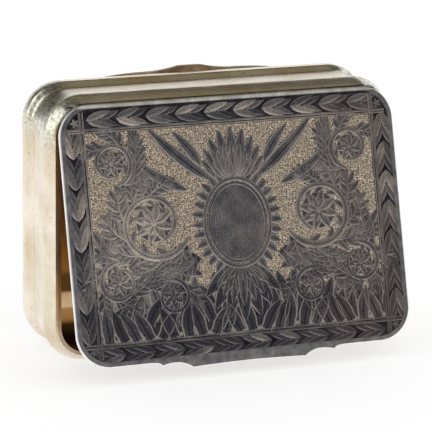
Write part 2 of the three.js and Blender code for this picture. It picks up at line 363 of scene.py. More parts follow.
# %% Cutting tools
def cut(bm, *tools, operation="DIFFERENCE"):
    work = bpy.data.objects.new("work", bpy.data.meshes.new("work"))
    scene.collection.objects.link(work)
    bm.to_mesh(work.data)
    bm.free()
    used = []
    for tool in tools:
        other = bpy.data.objects.new("tool", bpy.data.meshes.new("tool"))
        scene.collection.objects.link(other)
        tool.to_mesh(other.data)
        tool.free()
        modifier = work.modifiers.new("cut", "BOOLEAN")
        modifier.operation = operation
        modifier.solver = "EXACT"
        modifier.object = other
        used.append(other)
    result = bmesh.new()
    result.from_object(work, bpy.context.evaluated_depsgraph_get())
    for item in used + [work]:
        bpy.data.meshes.remove(item.data)
    return result


def rod(radius, x0, x1):
    bm = bmesh.new()
    middle = Matrix.Translation(((x0 + x1) / 2, HINGE_Y, HINGE_Z))
    bmesh.ops.create_cone(
        bm,
        cap_ends=True,
        segments=ROD_SEGMENTS,
        radius1=radius,
        radius2=radius,
        depth=x1 - x0,
        matrix=middle @ Matrix.Rotation(math.pi / 2, 4, "Y"),
    )
    return bm


def block(x0, x1, y0, y1, z0, z1):
    bm = bmesh.new()
    size = Matrix.Diagonal((x1 - x0, y1 - y0, z1 - z0, 1))
    middle = Matrix.Translation(((x0 + x1) / 2, (y0 + y1) / 2, (z0 + z1) / 2))
    bmesh.ops.create_cube(bm, size=1, matrix=middle @ size)
    return bm


print("rods have", ROD_SEGMENTS, "sides")

# %% [markdown]
# ## Wall bands
# In section each band rises from the rim to its crest, and runs down in a soft curve to the flat
# middle where the two compartments meet. The hammered rise is not the same on both: the front one
# is flatter, and the rear one is as full as a quarter of an ellipse. The sheet is 0.6 mm thick.
# Along the joint the rim is cut back for the tube: a round channel, and a shallow rebate that
# leaves the lid room to turn.

# %% Wall bands
def band_outside(side):
    crest_in, rise = RISES[side]
    points = []
    for step in range(13):
        share = 1 - math.cos(step / 12 * math.pi / 2)
        points.append((RIM_Y + crest_in * share, BULGE * (1 - (1 - share) ** rise) ** (1 / rise)))
    for step in range(1, 11):
        share = step / 10
        out = FLAT + (BULGE - FLAT) * (1 + math.cos(share * math.pi)) / 2
        points.append((RIM_Y + crest_in + share * (FLAT_IN - crest_in), out))
    points.append((-PARTITION / 2, FLAT))
    return points


def make_band(side):
    outside = band_outside(side)
    inside = [(y, out - WALL) for y, out in outside]
    band = ring(outside + inside[::-1])
    rebate = block(-REBATE_HALF, REBATE_HALF, RIM_Y - 1, RIM_Y + REBATE, HINGE_Z, HEIGHT)
    band = cut(band, rod(TUBE + BAND_ROOM, -CHANNEL_HALF, CHANNEL_HALF), rebate)
    # The rebate's upright face gets the dark niello as painted shade, a dark line above the tube
    for face in band.faces:
        place = face.calc_center_median()
        painted_shade_seam = face.normal.y < -0.9 and place.z > HINGE_Z and place.y > RIM_Y + 0.1
        face.material_index = int(painted_shade_seam)
    return band


for side, places in SIDES.items():
    band = finish(
        make_band(side),
        f"{side}_band",
        places["case"],
        [silver_gilt, niello],
        "case",
        [f"{side}_wall_band"],
    )
    print(band.name, len(band.data.polygons), "faces")

# %% [markdown]
# ## Partition and bezels
# One flat plate closes both compartments, and it is soldered flush between the bands, so its edge
# is filed and gilded with them. It could be a box with rounded corners. Here one square face gets
# its corners rounded by a vertex bevel and is then extruded. Each bezel is a plain strip behind the
# rim, swept like the bands.

# %% Partition and bezels
def thicken(bm, depth):
    grown = bmesh.ops.extrude_face_region(bm, geom=bm.faces[:])["geom"]
    moved = [item for item in grown if isinstance(item, bmesh.types.BMVert)]
    bmesh.ops.translate(bm, vec=(0, 0, -depth), verts=moved)
    bmesh.ops.recalc_face_normals(bm, faces=bm.faces)


def rounded_plate(length, height, radius, thickness):
    """A plate with its outer face at Z 0, in a lid's own plane."""
    bm = bmesh.new()
    bmesh.ops.create_grid(bm, x_segments=1, y_segments=1, size=0.5)
    bmesh.ops.scale(bm, vec=(length, height, 1), verts=bm.verts)
    bmesh.ops.bevel(
        bm,
        geom=bm.verts[:],
        offset=radius,
        segments=CORNER_STEPS,
        profile=0.5,
        affect="VERTICES",
        material=-1,
    )
    thicken(bm, thickness)
    return bm


bm = rounded_plate(LENGTH + 2 * FLAT, HEIGHT + 2 * FLAT, RADIUS + FLAT, PARTITION)
for face in bm.faces:
    face.material_index = 0 if abs(face.normal.z) < 0.5 else 1
upright = Matrix.Translation((0, -PARTITION / 2, 0)) @ Matrix.Rotation(math.pi / 2, 4, "X")
faces = [silver_gilt, partition_gilding_painted_reflection]
partition = finish(bm, "partition", CASE @ upright, faces, "case", ["partition_plate"])
rim, back = RIM_Y, RIM_Y + BEZEL_DEPTH
section = [(rim, BEZEL_OUT), (back, BEZEL_OUT), (back, BEZEL_IN), (rim, BEZEL_IN)]
for side, places in SIDES.items():
    bezel = cut(ring(section), rod(CHANNEL_ROOM, -LENGTH, LENGTH))
    name, old = f"{side}_bezel_strip", f"{side}_bezel"
    finish(bezel, name, places["case"], [worn_gilding], "case", [old])
print("partition", len(partition.data.polygons), "faces, and two bezels")

# %% [markdown]
# ## Joints
# The tube of each joint is drawn silver, sawn into five knuckles on one pin. Three are soldered to
# the case and two to the lid. The saw cuts are a few hundredths of a millimetre wide. The end
# knuckles are filed to the rounded outline, which comes from cutting the tube with the lid's own
# outline, and their ends are gilt.

# %% Joint tubes
def make_tube(number):
    pitch = (2 * JOINT_HALF + KNUCKLE_GAP) / 5
    start = -JOINT_HALF + number * pitch
    x0 = -LENGTH / 2 if number == 0 else start
    x1 = LENGTH / 2 if number == 4 else start + pitch - KNUCKLE_GAP
    outline = rounded_plate(LENGTH, HEIGHT, RADIUS, 4)
    bmesh.ops.transform(outline, matrix=PLATE, verts=outline.verts)
    bm = cut(rod(TUBE, x0, x1), outline, operation="INTERSECT")
    for face in bm.faces:
        face.material_index = 1 if abs(face.calc_center_median().x) > GILT_FROM else 0
    return bm


for side, places in SIDES.items():
    for number in range(5):
        owner = "lid" if number % 2 else "case"
        count = number // 2 + 1
        tube = finish(
            make_tube(number),
            f"{side}_{owner}_tube_{count}",
            places[owner],
            [tube_silver, silver_gilt],
            places["body"] if owner == "lid" else "case",
            [f"{side}_{owner}_knuckle_{count}"],
        )
print("ten knuckles, the last with", len(tube.data.polygons), "faces")

# %% [markdown]
# ## Lid plates
# Each lid is a flat plate of silver. Its edge is rounded over and polished by use, a plain margin
# follows, and inside that the face is cut 0.3 mm deep for the niello. The back is gilt. It could be
# a stack of boxes, but one face bevelled, inset and sunk keeps the edges true to the outline. The
# joint's room and the lip's notch are then cut out.

# %% Lid plates
def make_plate(lip_half):
    bm = rounded_plate(LENGTH, HEIGHT, RADIUS, LID)
    top = max(bm.faces, key=lambda face: face.calc_center_median().z)
    bmesh.ops.bevel(
        bm, geom=top.edges[:], offset=ARRIS, segments=3, profile=0.5, affect="EDGES", material=-1
    )
    bm.faces.ensure_lookup_table()
    top = max(bm.faces, key=lambda face: face.calc_center_median().z + 0.001 * len(face.verts))
    bmesh.ops.inset_region(bm, faces=[top], thickness=MARGIN - ARRIS)
    bmesh.ops.inset_region(bm, faces=[top], thickness=0.03, depth=-SUNK)
    bmesh.ops.transform(bm, matrix=PLATE, verts=bm.verts)
    bmesh.ops.recalc_face_normals(bm, faces=bm.faces)
    above = block(-LENGTH, LENGTH, -DEPTH, 0, PLATE_TOP, HEIGHT)
    side, root = lip_half + NOTCH_SIDE, -HEIGHT / 2 + LIP_ROOT + NOTCH_ROOT
    notch = block(-side, side, -DEPTH, 0, -HEIGHT, root)
    bm = cut(bm, above, rod(TUBE + PLATE_ROOM, -LENGTH, LENGTH), notch)
    # Materials: 0 the margin, 1 the polished edge, 2 the sunk ground, 3 the gilt back
    for face in bm.faces:
        depth = face.calc_center_median().y - LID_FACE_Y
        flat = abs(face.normal.y) > 0.99
        if depth > LID - 0.01:
            face.material_index = 3
        elif flat and abs(depth - SUNK) < 0.01:
            face.material_index = 2
        elif not flat and depth < ARRIS + 0.01 or abs(face.normal.y) < 0.1:
            face.material_index = 1
    return bm


for side, places in SIDES.items():
    plate = finish(
        make_plate(LIPS[side]["half"]),
        f"{side}_plate",
        places["lid"],
        [margin_silver, edge_silver, niello, gilding],
        places["body"],
        [f"{side}_lid_plate"],
    )
print("two lid plates,", len(plate.data.polygons), "faces each")

# %% [markdown]
# ## Thumb lips
# A lip of thicker silver is let into each lid's free edge, with a wavy outline: an ear at each end,
# a dip, and a raised middle between two horns. It could be a bevelled curve object. Here the
# outline is a chain of short curves, filled, extruded and rounded over, because only its outer
# edges are then rounded and not its root.

# %% Thumb lips
def bend(start, control, end):
    """Eight points of a quadratic curve, without its start."""
    start, control, end = (Vector((*point, 0)) for point in (start, control, end))
    handles = start.lerp(control, 2 / 3), end.lerp(control, 2 / 3)
    return interpolate_bezier(start, *handles, end, 9)[1:]


def make_lip(half, ear, dip, horn, middle):
    # The right half from its ear inwards: every second corner only steers the curve
    corners = [(half, 0), (ear[0], 0), ear, ((ear[0] + dip[0]) / 2, dip[1]), dip]
    corners += [((dip[0] + horn[0]) / 2, dip[1]), horn, (horn[0] / 2, middle), (0, middle)]
    corners = [(x, -reach) for x, reach in corners]
    right = [Vector((half, LIP_ROOT, 0)), Vector((half, 0, 0))]
    for index in range(0, len(corners) - 2, 2):
        right += bend(*corners[index : index + 3])
    outline = right + [Vector((-point.x, point.y, 0)) for point in right[-2::-1]]
    bm = bmesh.new()
    bm.faces.new([bm.verts.new(point) for point in outline])
    thicken(bm, LIP)
    level = [edge for edge in bm.edges if edge.verts[0].co.z == edge.verts[1].co.z]
    rims = [edge for edge in level if max(vert.co.y for vert in edge.verts) < 0.5]
    bmesh.ops.bevel(
        bm, geom=rims, offset=LIP_ARRIS, segments=3, profile=0.5, affect="EDGES", material=-1
    )
    bmesh.ops.translate(bm, vec=(0, -HEIGHT / 2, 0), verts=bm.verts)
    # Materials: 0 the face, 1 the polished edge, 2 the gilt back
    for face in bm.faces:
        if -0.9 < face.normal.z < 0.99:
            face.material_index = 1
        elif face.normal.z < 0:
            face.material_index = 2
    return bm


for side, places in SIDES.items():
    lip = finish(
        make_lip(**LIPS[side]),
        f"{side}_lip",
        places["lid"] @ PLATE,
        [lip_silver, edge_silver, lip_gilding],
        places["body"],
        [f"{side}_thumb_lip"],
    )
print("two thumb lips,", len(lip.data.polygons), "faces each")

# %% [markdown]
# ## Chased strips
# All of the ornament is cut from one kind of form: a strip of metal that follows a line, swells and
# tapers, and stands a quarter of a millimetre above the niello, with a groove along its middle. It
# could be drawn as curve objects, but a small grid bent along the line gives a closed solid whose
# every point knows how far along and across the leaf it lies, and the chasing marks and the painted
# edge highlight in the material follow those two numbers.

# %% Chased strips
scratch = bpy.data.meshes.new("scratch")


def new_ornament():
    bm = bmesh.new()
    bm.verts.layers.float_vector.new("leaf")
    bm.verts.layers.float_vector.new("plate")
    return bm


def strip(bm, path, half, tone, top, along, groove=0.05):
    """Bends a grid along path(t), half as wide as half(t), both for t from 0 to 1."""
    part = new_ornament()
    mark = part.verts.layers.float_vector["leaf"]
    bmesh.ops.create_grid(part, x_segments=along, y_segments=4, size=1)
    length = sum((path((i + 1) / 8) - path(i / 8)).length for i in range(8))
    for vert in part.verts:
        t, side = (vert.co.x + 1) / 2, math.copysign(abs(vert.co.y) ** 0.5, vert.co.y)
        run = (path(min(t + 0.01, 1)) - path(max(t - 0.01, 0))).normalized()
        out = Vector((-run.y, run.x)) * side * half(t)
        fall = 0.7 * (top + SUNK) * side**6 + groove * max(0, 1 - 2 * abs(side))
        vert.co = (*(path(t) + out), top - fall)
        vert[mark] = (t * length, side, tone)
    grown = bmesh.ops.extrude_face_region(part, geom=part.faces[:])["geom"]
    # The underside is let into the ground, so that no gap shows
    for vert in (item for item in grown if isinstance(item, bmesh.types.BMVert)):
        vert.co.z = -SUNK - 0.05
    join(bm, part)


def join(bm, part):
    part.to_mesh(scratch)
    part.free()
    bm.from_mesh(scratch)


def line(x, y, heading, length, curl=0.0):
    """A path that starts at (x, y) and turns by curl degrees over its length."""
    start, turn = math.radians(heading), math.radians(curl) or 1e-4

    def path(t):
        end = start + turn * t
        across = (math.sin(end) - math.sin(start)) / turn
        up = (math.cos(start) - math.cos(end)) / turn
        return Vector((x + length * across, y + length * up))

    return path


def spiral(x, y, radius, end_radius, heading, sweep):
    def path(t):
        angle = math.radians(heading + sweep * t)
        reach = radius + (end_radius - radius) * t**0.8
        return Vector((x + reach * math.cos(angle), y + reach * math.sin(angle)))

    return path


def lens(width, root):
    """Half the width of a leaf from its root, which may be broad, to its point."""
    return lambda t: width / 2 * max(0.03, root * (1 - 2 * t), math.sin(math.pi * t**0.75)) ** 0.65


def taper(width, end):
    return lambda t: (width + (end - width) * t) / 2 * min(1, 0.3 + 8 * t, 0.3 + 8 * (1 - t))


def leaf(bm, x, y, heading, length, width, curl, tone, top=-0.03, along=6, root=0.03):
    strip(bm, line(x, y, heading, length, curl), lens(width, root), tone, top, along)


def bar(bm, x0, y0, x1, y1, width, tone):
    run = Vector((x1 - x0, y1 - y0))
    start = Vector((x0, y0))
    strip(bm, lambda t: start + run * t, lambda t: width / 2, tone, -0.04, 1, 0)


def finish_ornament(bm, name, material, places):
    """Notes each point's place on the plate, in millimetres, and makes the object."""
    plate = bm.verts.layers.float_vector["plate"]
    for vert in bm.verts:
        vert[plate] = vert.co
    bmesh.ops.recalc_face_normals(bm, faces=bm.faces)
    made = finish(
        bm, name, places["lid"] @ PLATE, [material], places["body"], sharp=60
    )
    print(name, len(made.data.polygons), "faces")


print("a leaf of 3 mm is", round(2 * lens(3, 0.03)(0.25), 2), "mm wide at a quarter of its length")

# %% [markdown]
# ## Chased silver
# The ornament is silver that has tarnished blue-grey in the hollows and stays bright where cloths
# and hands reach. Every leaf has a dark cut outline, a thin bright edge that is a painted
# highlight, a dark middle line and fine engraved hatching. The material draws these from the leaf's
# own numbers, and then lets tarnish and wear wander over the plate: dark towards the bottom,
# browner to the right, and lighter at the left of the middle, partly rubbed and partly a painted
# highlight.

# %% Chased silver material
def make_chased(name, lines=1.0):
    """Chased silver; lines says how strong the painted edge highlight and the cut middle line are.
    """
    material, tree, shader = new_material(name, Metallic=1, Roughness=0.36)
    place = add_node(tree, "Attribute", attribute_name="plate").outputs["Vector"]
    marks = add_node(tree, "Attribute", attribute_name="leaf").outputs["Vector"]
    along, across, shade = add_node(tree, "SeparateXYZ", {0: marks}).outputs
    x, y, _ = add_node(tree, "SeparateXYZ", {0: place}).outputs
    side = add_node(tree, "Math", {0: across}, operation="ABSOLUTE")
    clouds = add_node(tree, "TexNoise", {"Vector": place, "Scale": 0.22, "Detail": 5})
    grain = add_node(tree, "TexNoise", {"Vector": place, "Scale": 2.2, "Detail": 3})
    # Lighter in an oval left of the middle: partly where hands and cloths have rubbed, partly a
    # painted highlight
    spot = add_node(tree, "VectorMath", {0: place, 1: (28, 1, 0)}, operation="ADD")
    spot = add_node(tree, "VectorMath", {0: spot, 1: (1, 0.7, 1)}, operation="MULTIPLY")
    away = add_node(tree, "VectorMath", {0: spot}, operation="LENGTH")
    spans = []
    for value, start, end, most in (
        (away, 15, 4, 0.32),
        (y, -9, -19, 0.3),
        (grain, 0.4, 0.6, 0.6),
        (side, 0.6, 0.72, 1),
        (side, 0.93, 0.8, 0.75 * lines),
        (side, 0.13, 0.05, 0.9 * lines),
        (side, 0.88, 0.94, 1),
    ):
        span = {"Value": value, "From Min": start, "From Max": end, "To Max": most}
        spans.append(add_node(tree, "MapRange", span))
    rubbed, low_down, patchy, painted_highlight_rise, painted_highlight_fall, middle, outline = spans
    tone = add_node(tree, "Math", {0: clouds, 1: shade}, operation="ADD")
    for term, operation in ((grain, "ADD"), (rubbed, "ADD"), (low_down, "SUBTRACT")):
        tone = add_node(tree, "Math", {0: tone, 1: term}, operation=operation)
    tone = add_node(tree, "MapRange", {"Value": tone, "From Min": 0.92, "From Max": 1.9})
    stops = ((0.0, "#434249"), (1.0, "#c9bdb0"), (0.35, "#6a686b"), (0.65, "#8f8884"))
    base = add_node(tree, "ValToRGB", {"Fac": tone}, stops)
    # Browner to the right, with an edge that wanders by the clouds
    right = add_node(tree, "Math", {0: clouds, 1: 60, 2: x}, operation="MULTIPLY_ADD")
    span = {"Value": right, "From Min": 30, "From Max": 62, "To Max": 0.6}
    browner = add_node(tree, "MapRange", span)
    brown = add_node(tree, "Mix", {0: 0.5, 6: base, 7: "#86746a"}, data_type="RGBA")
    # Hatching: fine lines that lean away from the middle line, in patches
    lean = add_node(tree, "Math", {0: side, 1: 0.6, 2: along}, operation="MULTIPLY_ADD")
    wave = add_node(tree, "Math", {0: lean, 1: 11.0}, operation="MULTIPLY")
    wave = add_node(tree, "Math", {0: wave}, operation="SINE")
    wave = add_node(tree, "MapRange", {"Value": wave, "From Min": 0.1, "From Max": 0.9})
    hatch = add_node(tree, "Math", {0: wave, 1: patchy}, operation="MULTIPLY")
    # A thin band just inside each leaf's outline is painted light, as a highlight
    edge = add_node(tree, "Math", {0: painted_highlight_rise, 1: painted_highlight_fall}, operation="MULTIPLY")
    for amount, tint in (
        (browner, brown),
        (hatch, "#37363b"),
        (edge, "#b9b1a7"),
        (middle, "#2b2a30"),
        (outline, "#1d1c22"),
    ):
        base = add_node(tree, "Mix", {0: amount, 6: base, 7: tint}, data_type="RGBA")
    tree.links.new(base.outputs[2], shader.inputs["Base Color"])
    bump = add_node(tree, "Bump", {"Height": grain, "Strength": 0.5, "Distance": 0.0001})
    tree.links.new(bump.outputs["Normal"], shader.inputs["Normal"])
    return material


chased = make_chased("chased_silver")
plain_chased = make_chased("border_silver", 0.45)
print("made", chased.name, "and", plain_chased.name)

# %% [markdown]
# ## Border
# A laurel wreath runs round each lid between the plain margin and two frame lines. Its leaves lie
# in pairs that open along the run: leftward on the bottom edge, then up, rightward and down. The
# frame lines cross at the corners, and a small sprig fills each corner square.

# %% Border
def wreath(bm, x, y, heading, length, pairs, width):
    """One side's row of leaf pairs, from (x, y) in the direction of heading."""
    run = Vector((math.cos(math.radians(heading)), math.sin(math.radians(heading))))
    pitch = length / pairs
    for number in range(pairs):
        base = Vector((x, y)) + run * (pitch * (number + 0.12))
        for side in (-1, 1):
            turn = heading + side * random.uniform(19, 23)
            shade = random.uniform(0.0, 0.8)
            leaf(bm, *base, turn, width * 1.98, width * 0.62, side * -6, shade)
            under = base + run * pitch * 0.45
            leaf(bm, *under, turn, width * 1.6, width * 0.5, 0, shade - 0.3, -0.1, 4)


# Each row: where it starts, its heading, its length, its pairs of leaves and its width
WREATHS = (
    (36.0, -28.0, 180, 72.8, 10, 3.0),
    (-39.0, -26.0, 90, 50.4, 7, 3.35),
    (-36.0, 27.0, 0, 72.8, 10, 3.2),
    (39.0, 25.0, -90, 49.6, 7, 3.35),
)
SPRIGS = ((-38.1, -27.0), (-38.1, 26.3), (38.1, -27.0), (38.1, 26.3))


def make_border():
    bm = new_ornament()
    for x, sign in ((-PANEL_X, -1), (PANEL_X, 1)):
        for out, width, tone in ((0.35, 0.4, 0.75), (1.05, 0.7, 0.45)):
            bar(bm, x + sign * out, -BAR_UP, x + sign * out, BAR_UP, width, tone)
    for y, sign in ((PANEL_TOP, 1), (PANEL_BOTTOM, -1)):
        for out, width, tone in ((0.35, 0.4, 0.75), (1.0, 0.7, 0.45)):
            bar(bm, -BAR_ALONG, y + sign * out, BAR_ALONG, y + sign * out, width, tone)
    for row in WREATHS:
        wreath(bm, *row)
    for x, y in SPRIGS:
        for number in range(5):
            leaf(bm, x, y, 36 + 72 * number, 1.2, 0.8, 0, 0.5, -0.04, 4)
    return bm


random.seed(7)
for side, places in SIDES.items():
    finish_ornament(make_border(), f"{side}_border", plain_chased, places)

# %% [markdown]
# ## Punched ground
# The ground between the motifs is matted with a punch, blow beside blow, which leaves pits with
# bright ridges between them. It could be a bump texture, but the ridges are what catches the light,
# so the points of a fine grid rise where the cells of an uneven mesh meet, one cell for each blow.

# %% Punched ground
def make_ground():
    bm = new_ornament()
    width, height = 2 * PANEL_X + 0.2, PANEL_TOP - PANEL_BOTTOM + 0.2
    columns, rows = round(width / GRAIN), round(height / GRAIN)
    bmesh.ops.create_grid(bm, x_segments=columns, y_segments=rows, size=0.5)
    bmesh.ops.scale(bm, vec=(width, height, 1), verts=bm.verts)
    bmesh.ops.translate(bm, vec=(0, (PANEL_TOP + PANEL_BOTTOM) / 2, 0), verts=bm.verts)
    mark = bm.verts.layers.float_vector["leaf"]
    for vert in bm.verts:
        near, second = noise.voronoi((vert.co.x / PIT, vert.co.y / PIT, 0))[0][:2]
        ridge = 1 - min(1, (second - near) / 0.4)
        vert.co.z = -SUNK + 0.02 + 0.12 * ridge
        vert[mark] = (0, 0, ridge)
    return bm


def make_matted():
    material, tree, shader = new_material("matted_silver", Metallic=1, Roughness=0.42)
    place = add_node(tree, "Attribute", attribute_name="plate").outputs["Vector"]
    marks = add_node(tree, "Attribute", attribute_name="leaf").outputs["Vector"]
    height = add_node(tree, "SeparateXYZ", {0: marks}).outputs["Z"]
    clouds = add_node(tree, "TexNoise", {"Vector": place, "Scale": 0.3, "Detail": 3})
    # A finer punch has gone over the whole, so tarnish sits in dots of half a millimetre too
    cells = {"Vector": place, "Scale": 2.0, "Randomness": 0.7}
    dots = add_node(tree, "TexVoronoi", cells, voronoi_dimensions="2D")
    both = add_node(tree, "Math", {0: height, 1: 0.35, 2: dots}, operation="MULTIPLY_ADD")
    stops = ((0.27, "#463f3c"), (0.82, "#eddcc6"), (0.52, "#a59584"))
    ridge = add_node(tree, "ValToRGB", {"Fac": both}, stops)
    span = {"Value": clouds, "From Min": 0.35, "From Max": 0.7, "To Max": 0.5}
    warm = add_node(tree, "MapRange", span)
    tint = add_node(tree, "Mix", {0: warm, 6: ridge, 7: "#a99a86"}, data_type="RGBA")
    tree.links.new(tint.outputs[2], shader.inputs["Base Color"])
    return material


matted = make_matted()
for side, places in SIDES.items():
    finish_ornament(make_ground(), f"{side}_ground", matted, places)

# %% [markdown]
# ## Ornament of the panel
# Each lid's field carries a symmetrical composition of a kind that silver chasers have shared for
# centuries: a plain oval in a rim with short rays, a palmette above and an acanthus below it, leafy
# scrolls with rosettes, long blades of reed, and a dark thicket of leaves along the bottom.
# Everything is made of the same strips, and each motif is set out once and turned over for the
# other half.

# %% Motifs
def boss(bm, x, y, reach_x, reach_y, tone, top, segments, flat=1):
    """A dome, or with a larger flat a disc; each point knows how far from the middle it lies."""
    part = new_ornament()
    layer = part.verts.layers.float_vector["leaf"]
    bmesh.ops.create_uvsphere(part, u_segments=segments, v_segments=12, radius=1)
    for vert in part.verts:
        away = min(1, vert.co.xy.length)
        # How far out a point lies stands in for a leaf's side, so the material paints the outline
        # and a highlight ring there
        vert[layer] = (reach_x * vert.co.x, 0.3 + 0.7 * away ** (2 * flat), tone)
        rise = vert.co.z if flat == 1 else math.copysign(abs(vert.co.z) ** 0.5, vert.co.z)
        vert.co = (x + reach_x * vert.co.x, y + reach_y * vert.co.y, -SUNK + rise * (top + SUNK))
    join(bm, part)


def rosette(bm, x, y, radius, petals, tone):
    boss(bm, x, y, radius * 1.06, radius * 1.06, tone - 0.5, -0.1, 24, 4)
    for ring_size, top in ((1, -0.06), (0.62, -0.02)):
        for number in range(petals):
            heading = 360 / petals * (number + ring_size * 0.5) + 8
            away = Vector((math.cos(math.radians(heading)), math.sin(math.radians(heading))))
            start = Vector((x, y)) + away * radius * 0.1
            width = 2 * math.pi * radius * ring_size / petals * 0.8
            leaf(bm, *start, heading, radius * ring_size, width, 0, tone, top)
    boss(bm, x, y, radius * 0.26, radius * 0.26, tone + 0.25, 0.0, 12)


def frond(bm, x, y, heading, length, width, curl, pairs, tone, top=-0.04, ratio=0.36, spread=38):
    """A dark broad leaf with pairs of leaflets on it that grow smaller towards the tip."""
    stem = line(x, y, heading, length, curl)
    strip(bm, stem, lens(width * 1.3, 0.5), tone - 0.45, top - 0.06, 10, 0)
    for number in range(pairs):
        t = (number + 0.4) / pairs
        size = width * math.sin(math.pi * (0.3 + 0.62 * t)) ** 0.8
        for side in (-1, 1):
            turn = heading + curl * t + side * (spread - 12 * t)
            shade = tone + random.uniform(-0.08, 0.08)
            leaf(bm, *stem(t), turn, size, size * ratio, side * -16, shade, top - 0.02, 5)
    size = length * 0.34
    leaf(bm, *stem(0.72), heading + curl * 0.8, size, width * ratio, 0, tone, top - 0.01, 5)
    strip(bm, stem, taper(0.7, 0.25), tone + 0.25, top + 0.02, 10, 0)


def scroll(bm, x, y, radius, end_radius, heading, sweep, width, tone):
    """A spiral stem with acanthus leaves that leave it on the outer side."""
    path = spiral(x, y, radius, end_radius, heading, sweep)
    side = math.copysign(1, sweep)
    # A frond for about every 10 mm of stem, which is 560 in degrees times millimetres
    count = round(abs(sweep) * radius / 560)
    for number in range(count):
        t = 0.04 + 0.64 * number / count
        turn = heading + sweep * t + side * 90 - side * random.uniform(34, 46)
        size = width * (4.2 - 1.5 * t)
        frond(bm, *path(t), turn, size, size * 0.52, side * 58, 4, tone - 0.08, -0.05, 0.55, 48)
        inner = heading + sweep * (t + 0.06) + side * 90 + side * 35
        leaf(bm, *path(t + 0.06), inner, size * 0.45, size * 0.24, side * 40, tone - 0.1, -0.07)
    strip(bm, path, taper(width, width * 0.5), tone + 0.1, -0.02, 40)


def fan(bm, x, y, heading, lengths, spread, width, tone, top=-0.03):
    """Leaves that open from one point, from the outer ones inward."""
    for number, length in reversed(list(enumerate(lengths))):
        for side in (-1, 1) if number else (1,):
            turn = heading + side * spread * number
            lift = 0.012 * number
            leaf(bm, x, y, turn, length, width, side * -9 * number, tone, top - lift, 8)


def oval(reach_x, reach_y, y):
    def path(t):
        angle = math.tau * t
        return Vector((reach_x * math.cos(angle), y + reach_y * math.sin(angle)))

    return path


def cartouche(bm, y, reach_x, reach_y):
    """A plain oval boss in a double rim, on short rays."""
    rays = oval(reach_x + 0.2, reach_y + 0.2, y)
    for number in range(32):
        place = rays(number / 32)
        heading = math.degrees(math.atan2((place.y - y) / reach_y, place.x / reach_x))
        leaf(bm, *place, heading, 2.8, 2.3, 0, 0.3, -0.05, 5, 0.7)
    boss(bm, 0, y, reach_x - 0.9, reach_y - 0.9, 0.32, -0.06, 64, 6)
    strip(bm, oval(reach_x, reach_y, y), lambda t: 0.65, 0.45, -0.01, 64, 0)
    strip(bm, oval(reach_x - 1.1, reach_y - 1.1, y), lambda t: 0.42, 0.3, -0.02, 64, 0)


def turned(heading, side):
    """A motif's heading, turned over for the left half."""
    return heading if side == 1 else 180 - heading


print("motifs ready")

# %% Front panel
def thicket(bm):
    """A dark bank, and three rows of broad leaves on it, the back row first."""
    bank = line(-PANEL_X, -21.4, 0, 2 * PANEL_X)
    strip(bm, bank, lambda t: 4.4 + 0.5 * math.sin(17 * t), -0.3, -0.12, 40, 0)
    for row, (y, length, width, shade) in enumerate(
        ((-18.6, 7.4, 3.8, 0.3), (-21.8, 7.6, 4.0, 0.12), (-25.1, 7.7, 4.2, 0.2))
    ):
        for number in range(22):
            x = -33.6 + 3.2 * number + random.uniform(-0.5, 0.5)
            turn = 90 + random.uniform(-30, 30)
            turn += max(0, abs(x) - 31) * math.copysign(6, x)
            tone = shade + random.uniform(-0.25, 0.25)
            curl = random.uniform(-30, 30)
            leaf(bm, x, y, turn, length, width, curl, tone, -0.1 + 0.03 * row, 6, 0.75)


def make_front_panel():
    bm = new_ornament()
    thicket(bm)
    for side in (1, -1):
        for x, y, heading, length, width, curl, tone in REEDS:
            turn = turned(heading, side)
            leaf(bm, side * x, y, turn, length, width, side * curl, tone, -0.07, 12)
        for x, y, heading, length, width, curl, pairs, tone in FRONDS:
            frond(bm, side * x, y, turned(heading, side), length, width, side * curl, pairs, tone)
        for x, y, radius, end_radius, heading, sweep, width, tone in SCROLLS:
            turn = turned(heading, side)
            scroll(bm, side * x, y, radius, end_radius, turn, side * sweep, width, tone)
        for x, y, radius, petals, tone in ROSETTES:
            rosette(bm, side * x, y, radius, petals, tone)
    fan(bm, 0, 10.8, 90, (12.4, 12.0, 11.2, 10.2, 9.2), 19, 4.2, 0.3)
    fan(bm, 0, 10.8, 90, (9.0, 8.6, 8.0, 7.2, 6.4), 19, 2.6, 0.5, 0.0)
    fan(bm, 0, -9.8, -90, (13, 12.6, 12.0, 11.2), 23, 5.4, 0.1)
    fan(bm, 0, -9.8, -90, (9.5, 9.2, 8.8, 8.2), 23, 3.0, 0.35, 0.0)
    cartouche(bm, 0.5, 8.2, 10.4)
    return bm


# Motifs of the right half, in millimetres and degrees, placed from the plate's middle.
# Each reed: x, y, heading, length, width, curl and tone
REEDS = (
    (6, 11, 36, 20, 3.4, 12, 0.3),
    (8, 14.5, 62, 10.5, 3.0, -20, 0.3),
    (12, 9, 20, 15, 3.0, 26, 0.25),
    (34, -8, 97, 15, 3.2, 10, 0.2),
    (31, -9, 74, 12, 3.0, -24, 0.25),
    (10, -11, 22, 15, 3.6, -22, 0.1),
    (12, -14, 2, 16, 3.6, 18, 0.05),
)
# Each frond: the same, with its pairs of leaflets before the tone
FRONDS = (
    (25.5, 11, 112, 13, 4.6, -34, 8, 0.3),
    (10.8, -6.5, -50, 13, 4.8, 40, 8, 0.15),
    (28, -14.5, 152, 13, 4.6, -26, 8, 0.15),
)
# Each scroll: x, y, outer and inner radius, heading, sweep, width and tone
SCROLLS = (
    (20.8, 1.8, 9.2, 4.6, 205, 400, 2.2, 0.4),
    (30.0, 16.4, 5.4, 3.0, 262, -385, 1.7, 0.4),
    (30.4, -11.4, 5.2, 3.0, 110, -380, 1.7, 0.3),
    (17.5, -15.8, 4.6, 2.6, 60, 370, 1.5, 0.2),
)
